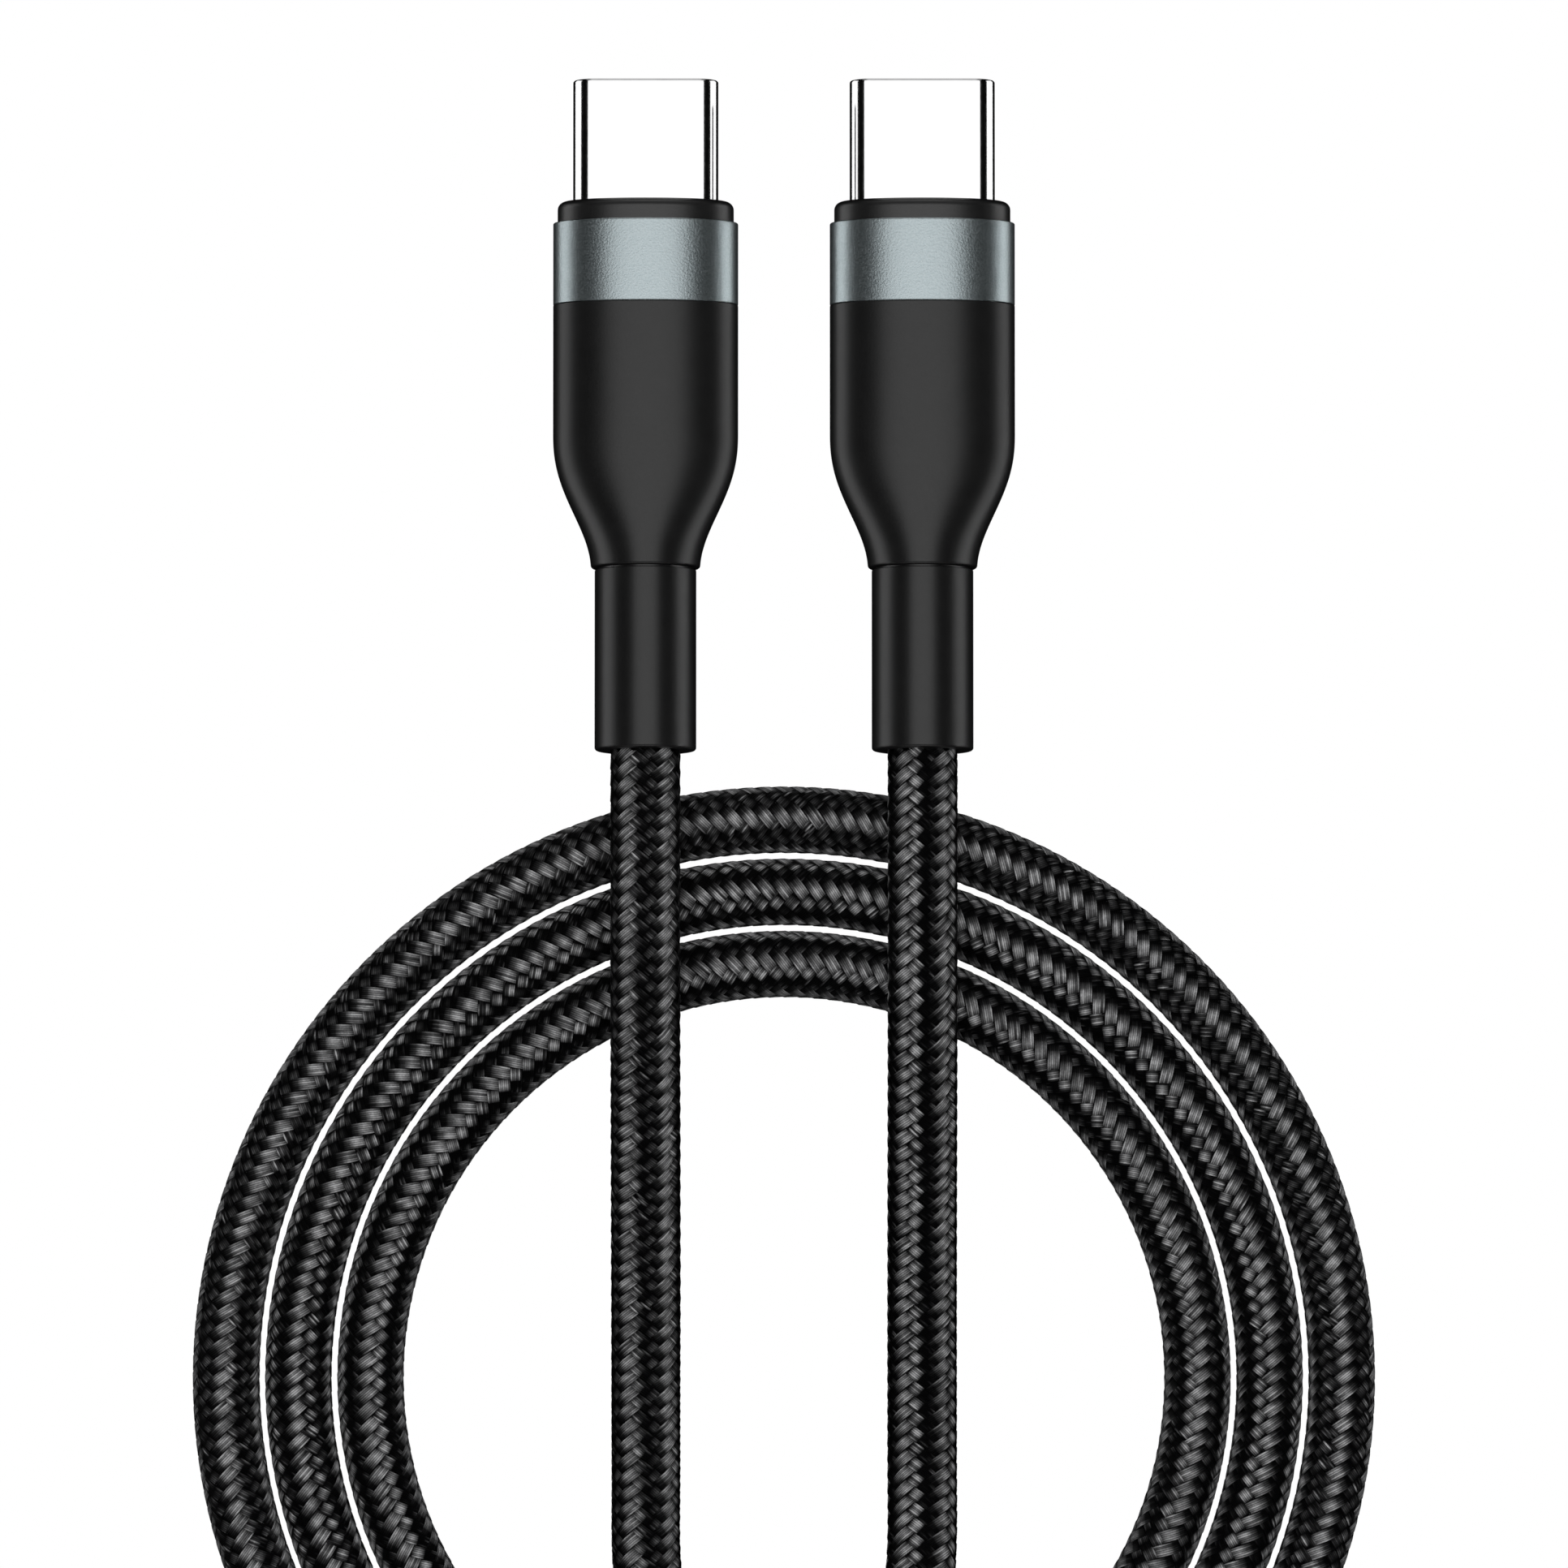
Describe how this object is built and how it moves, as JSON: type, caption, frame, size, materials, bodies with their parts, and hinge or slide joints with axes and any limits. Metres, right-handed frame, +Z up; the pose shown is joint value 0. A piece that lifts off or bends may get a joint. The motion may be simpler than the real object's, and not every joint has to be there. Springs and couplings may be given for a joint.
{
  "type": "charging cable",
  "caption": "Charging cable with a reversible oval plug on each end and a black braided cord wound into a flat coil.",
  "frame": {"origin": "on the table, below the middle of the two plugs, halfway between their centre lines", "axes": "+Z up from the table, +Y the way the plugs point, X = 0 halfway between the plugs, the coil lying towards -Y"},
  "size_m": [0.0672, 0.1074, 0.0086],
  "materials": {
    "shell": "bright nickel plate, polished",
    "carrier": "moulded black, satin",
    "contacts": "gold plate",
    "spring_steel": "stamped spring steel",
    "board": "green solder mask",
    "chip": "moulded black",
    "capacitor": "fired tan body with tinned ends",
    "solder": "bright solder",
    "can": "tinned sheet",
    "mould": "natural white, low-pressure moulded",
    "ferrule": "crimped, dull",
    "jacket": "extruded black elastomer",
    "woven": "braided black nylon filament",
    "red_wire": "insulated conductor",
    "black_wire": "insulated conductor",
    "signal_wire": "insulated conductors: blue, green and white",
    "collar": "black, fine texture",
    "ring": "blue-grey anodised, fine bead-blasted",
    "housing": "black, fine matte texture",
    "relief": "black, fine matte texture"
  },
  "bodies": {
    "cable": {"left_plug_shell": "shell", "left_contact_carrier": "carrier", "left_rear_carrier": "carrier", "left_upper_contacts": "contacts", "left_lower_contacts": "contacts", "left_upper_ground_spring": "spring_steel", "left_lower_ground_spring": "spring_steel", "left_latch_plate": "spring_steel", "left_circuit_board": "board", "left_marker_chip": "chip", "left_capacitors": "capacitor", "left_solder_joints": "solder", "left_upper_shield_can": "can", "left_lower_shield_can": "can", "left_inner_mould": "mould", "left_crimp_ferrule": "ferrule", "left_shield_braid": "can", "left_cord_jacket": "jacket", "left_woven_cover": "woven", "left_power_wire": "red_wire", "left_ground_wire": "black_wire", "left_signal_wires": "signal_wire", "left_nose_collar": "collar", "left_trim_ring": "ring", "left_housing": "housing", "left_strain_relief": "relief", "right_plug_shell": "shell", "right_contact_carrier": "carrier", "right_rear_carrier": "carrier", "right_upper_contacts": "contacts", "right_lower_contacts": "contacts", "right_upper_ground_spring": "spring_steel", "right_lower_ground_spring": "spring_steel", "right_latch_plate": "spring_steel", "right_circuit_board": "board", "right_marker_chip": "chip", "right_capacitors": "capacitor", "right_solder_joints": "solder", "right_upper_shield_can": "can", "right_lower_shield_can": "can", "right_inner_mould": "mould", "right_crimp_ferrule": "ferrule", "right_shield_braid": "can", "right_cord_jacket": "jacket", "right_woven_cover": "woven", "right_power_wire": "red_wire", "right_ground_wire": "black_wire", "right_signal_wires": "signal_wire", "right_nose_collar": "collar", "right_trim_ring": "ring", "right_housing": "housing", "right_strain_relief": "relief", "left_cord_tail": "woven", "right_cord_tail": "woven", "cord_coil": "woven"},
    "left_outer_latch_arm": {"left_latch_arm_outer": "spring_steel"},
    "left_inner_latch_arm": {"left_latch_arm_inner": "spring_steel"},
    "right_outer_latch_arm": {"right_latch_arm_outer": "spring_steel"},
    "right_inner_latch_arm": {"right_latch_arm_inner": "spring_steel"}
  },
  "joints": [
    {"name": "left_outer_latch_spring", "type": "hinge", "parent": "cable", "child": "left_outer_latch_arm", "pos_m": [-0.01127, 0.0124, 0.00298], "axis": [0, 0.0872, 0.9962], "range_deg": [0, 2.5], "stiffness_Nm_per_rad": 0.00005},
    {"name": "left_inner_latch_spring", "type": "hinge", "parent": "cable", "child": "left_inner_latch_arm", "pos_m": [-0.00443, 0.0124, 0.00298], "axis": [0, 0.0872, 0.9962], "range_deg": [-2.5, 0], "stiffness_Nm_per_rad": 0.00005},
    {"name": "right_outer_latch_spring", "type": "hinge", "parent": "cable", "child": "right_outer_latch_arm", "pos_m": [0.01127, 0.0124, 0.00298], "axis": [0, 0.0872, 0.9962], "range_deg": [-2.5, 0], "stiffness_Nm_per_rad": 0.00005},
    {"name": "right_inner_latch_spring", "type": "hinge", "parent": "cable", "child": "right_inner_latch_arm", "pos_m": [0.00443, 0.0124, 0.00298], "axis": [0, 0.0872, 0.9962], "range_deg": [0, 2.5], "stiffness_Nm_per_rad": 0.00005}
  ],
  "couplings": [
    {"joint": "left_inner_latch_spring", "follows": "left_outer_latch_spring", "ratio": -1},
    {"joint": "right_inner_latch_spring", "follows": "right_outer_latch_spring", "ratio": -1}
  ]
}
